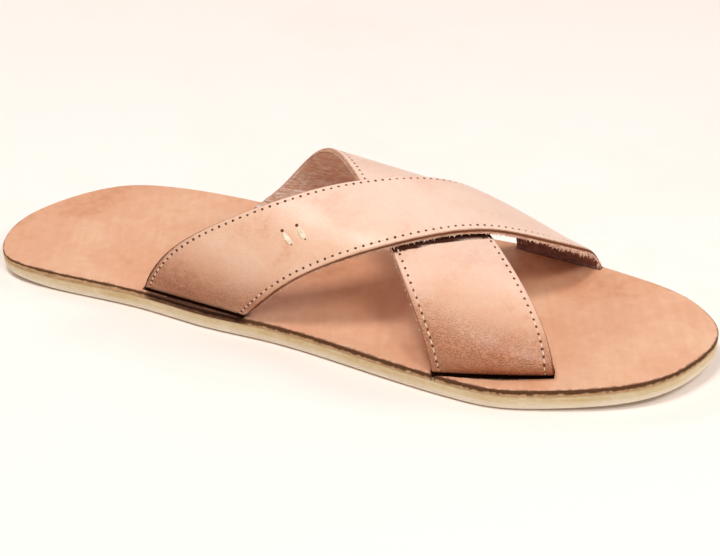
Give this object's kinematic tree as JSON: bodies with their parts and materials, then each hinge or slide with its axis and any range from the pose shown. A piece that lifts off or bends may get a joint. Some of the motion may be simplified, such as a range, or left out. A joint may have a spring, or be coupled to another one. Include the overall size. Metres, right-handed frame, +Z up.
{
  "type": "leather slide sandal",
  "caption": "Right-foot leather slide sandal: crossed straps, joined where they meet, pass through slots in a leather insole on a flat crepe rubber outsole.",
  "frame": {"origin": "on the ground under the middle of the sandal's length and width", "axes": "+X from the heel to the toe, +Y to the medial (big toe) side, +Z up"},
  "size_m": [0.28, 0.1063, 0.0551],
  "materials": {
    "crepe_rubber": "matte honey-coloured crepe, slightly translucent",
    "insole_leather": "smooth vegetable-tanned leather, satin, with a stained dark edge",
    "strap_leather": "pale natural leather, satin, fine pebbled grain, raw cut edges"
  },
  "bodies": {
    "root": {"outsole": "crepe_rubber", "insole": "insole_leather", "upper": "strap_leather"}
  },
  "joints": []
}
